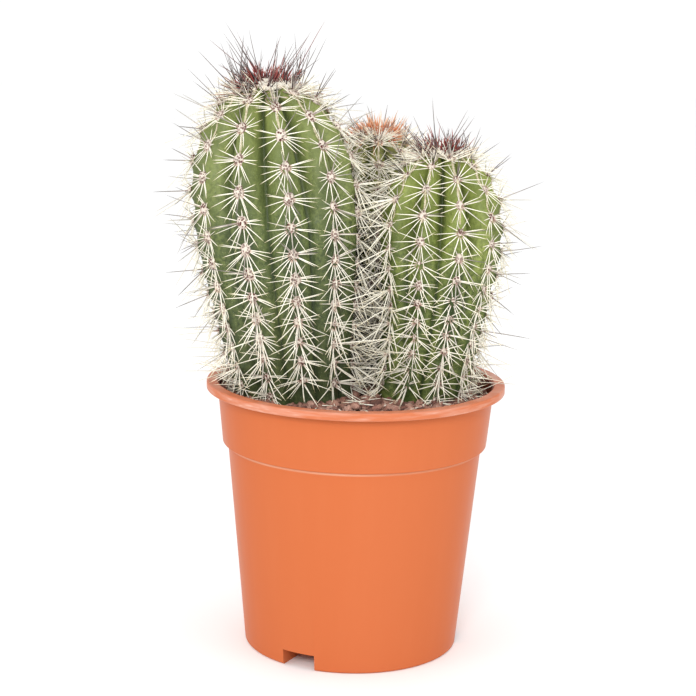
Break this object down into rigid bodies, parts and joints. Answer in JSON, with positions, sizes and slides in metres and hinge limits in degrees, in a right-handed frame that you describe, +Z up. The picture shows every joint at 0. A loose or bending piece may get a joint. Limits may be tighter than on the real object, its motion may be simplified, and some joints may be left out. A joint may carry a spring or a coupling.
{
  "type": "potted columnar cactus",
  "caption": "Three-stemmed columnar cactus with ribbed stems and rows of long pale spines, growing in grit-topped soil in a round tapered plastic nursery pot.",
  "frame": {"origin": "centre of the pot's flat base, on the surface that it stands on", "axes": "+Z up along the pot's axis; -Y is the front; the tallest stem stands and leans to -X, the short one stands at +X and the back one at +Y"},
  "size_m": [0.2289, 0.1963, 0.3532],
  "materials": {
    "pot_plastic": "satin",
    "soil_mix": "matte",
    "grit": "matte",
    "pebble_stone": "matte",
    "left_flesh": "satin",
    "right_flesh": "satin",
    "back_flesh": "satin",
    "left_crown": "matte",
    "right_crown": "matte",
    "back_crown": "matte",
    "spine_cream": "matte"
  },
  "bodies": {
    "root": {"pot": "pot_plastic", "soil": "soil_mix", "grit_bed": "grit", "pebble_01": "pebble_stone", "pebble_02": "pebble_stone", "pebble_03": "pebble_stone", "pebble_04": "pebble_stone", "pebble_05": "pebble_stone", "pebble_06": "pebble_stone", "pebble_07": "pebble_stone", "pebble_08": "pebble_stone", "left_stem": "left_flesh", "left_crown_spines": "left_crown", "left_rib_01_spines": "spine_cream", "left_rib_02_spines": "spine_cream", "left_rib_03_spines": "spine_cream", "left_rib_04_spines": "spine_cream", "left_rib_05_spines": "spine_cream", "left_rib_06_spines": "spine_cream", "left_rib_07_spines": "spine_cream", "left_rib_08_spines": "spine_cream", "left_rib_09_spines": "spine_cream", "left_rib_10_spines": "spine_cream", "left_rib_11_spines": "spine_cream", "right_stem": "right_flesh", "right_crown_spines": "right_crown", "right_rib_01_spines": "spine_cream", "right_rib_02_spines": "spine_cream", "right_rib_03_spines": "spine_cream", "right_rib_04_spines": "spine_cream", "right_rib_05_spines": "spine_cream", "right_rib_06_spines": "spine_cream", "right_rib_07_spines": "spine_cream", "right_rib_08_spines": "spine_cream", "right_rib_09_spines": "spine_cream", "right_rib_10_spines": "spine_cream", "back_stem": "back_flesh", "back_crown_spines": "back_crown", "back_rib_01_spines": "spine_cream", "back_rib_02_spines": "spine_cream", "back_rib_03_spines": "spine_cream", "back_rib_04_spines": "spine_cream", "back_rib_05_spines": "spine_cream", "back_rib_06_spines": "spine_cream", "back_rib_07_spines": "spine_cream", "back_rib_08_spines": "spine_cream", "back_rib_09_spines": "spine_cream", "back_rib_10_spines": "spine_cream"}
  },
  "joints": []
}
